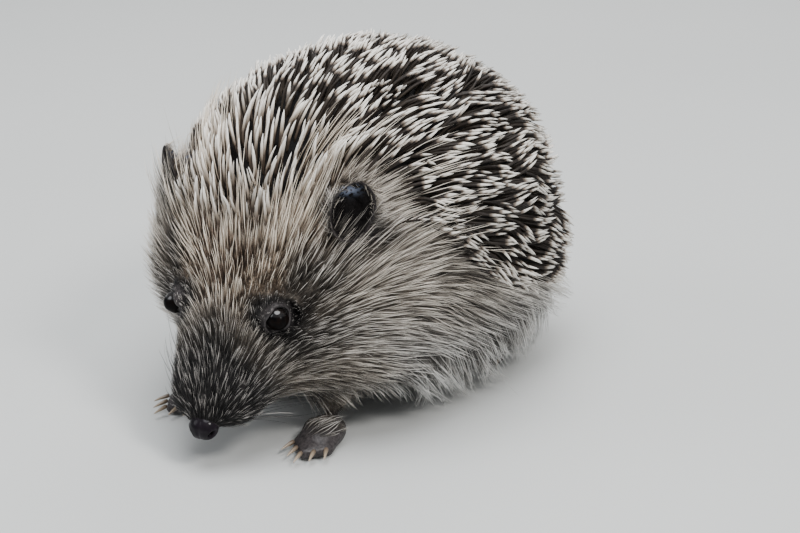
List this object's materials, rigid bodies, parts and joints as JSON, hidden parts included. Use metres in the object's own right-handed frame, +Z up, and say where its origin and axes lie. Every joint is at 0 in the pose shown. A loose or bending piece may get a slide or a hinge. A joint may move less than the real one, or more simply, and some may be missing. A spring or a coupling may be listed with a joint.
{
  "type": "hedgehog",
  "caption": "Life-size still model of a young European hedgehog standing with its head lowered and turned a little to its left, spines laid back.",
  "frame": {"origin": "on the ground plane under the middle of the animal's bounding box", "axes": "+Z up, -Y the way the body faces, +X the animal's own left side"},
  "size_m": [0.1022, 0.1542, 0.1022],
  "materials": {
    "back_coat": "banded spines, cream tips over dark brown, satin",
    "face_coat": "coarse grizzled fur, dark mask with straw-coloured tips",
    "belly_coat": "long shaggy grey-white fur, matt",
    "bare_skin": "dark bare skin with fine wrinkles and sparse hair",
    "nose": "wet pebbled skin, glossy",
    "eye": "polished, near black",
    "claw": "translucent horn, satin"
  },
  "bodies": {
    "root": {"rump": "back_coat", "trunk": "back_coat", "shoulders": "back_coat", "neck": "back_coat", "head": "face_coat", "snout": "face_coat", "lower_jaw": "face_coat", "chest": "belly_coat", "tail": "belly_coat", "nose": "nose", "eye_left": "eye", "ear_left": "bare_skin", "front_leg_left": "belly_coat", "front_foot_left": "bare_skin", "front_claw_left_1": "claw", "front_claw_left_2": "claw", "front_claw_left_3": "claw", "front_claw_left_4": "claw", "front_claw_left_5": "claw", "hind_leg_left": "belly_coat", "hind_foot_left": "bare_skin", "hind_claw_left_1": "claw", "hind_claw_left_2": "claw", "hind_claw_left_3": "claw", "hind_claw_left_4": "claw", "hind_claw_left_5": "claw", "eye_right": "eye", "ear_right": "bare_skin", "front_leg_right": "belly_coat", "front_foot_right": "bare_skin", "front_claw_right_1": "claw", "front_claw_right_2": "claw", "front_claw_right_3": "claw", "front_claw_right_4": "claw", "front_claw_right_5": "claw", "hind_leg_right": "belly_coat", "hind_foot_right": "bare_skin", "hind_claw_right_1": "claw", "hind_claw_right_2": "claw", "hind_claw_right_3": "claw", "hind_claw_right_4": "claw", "hind_claw_right_5": "claw"}
  },
  "joints": []
}
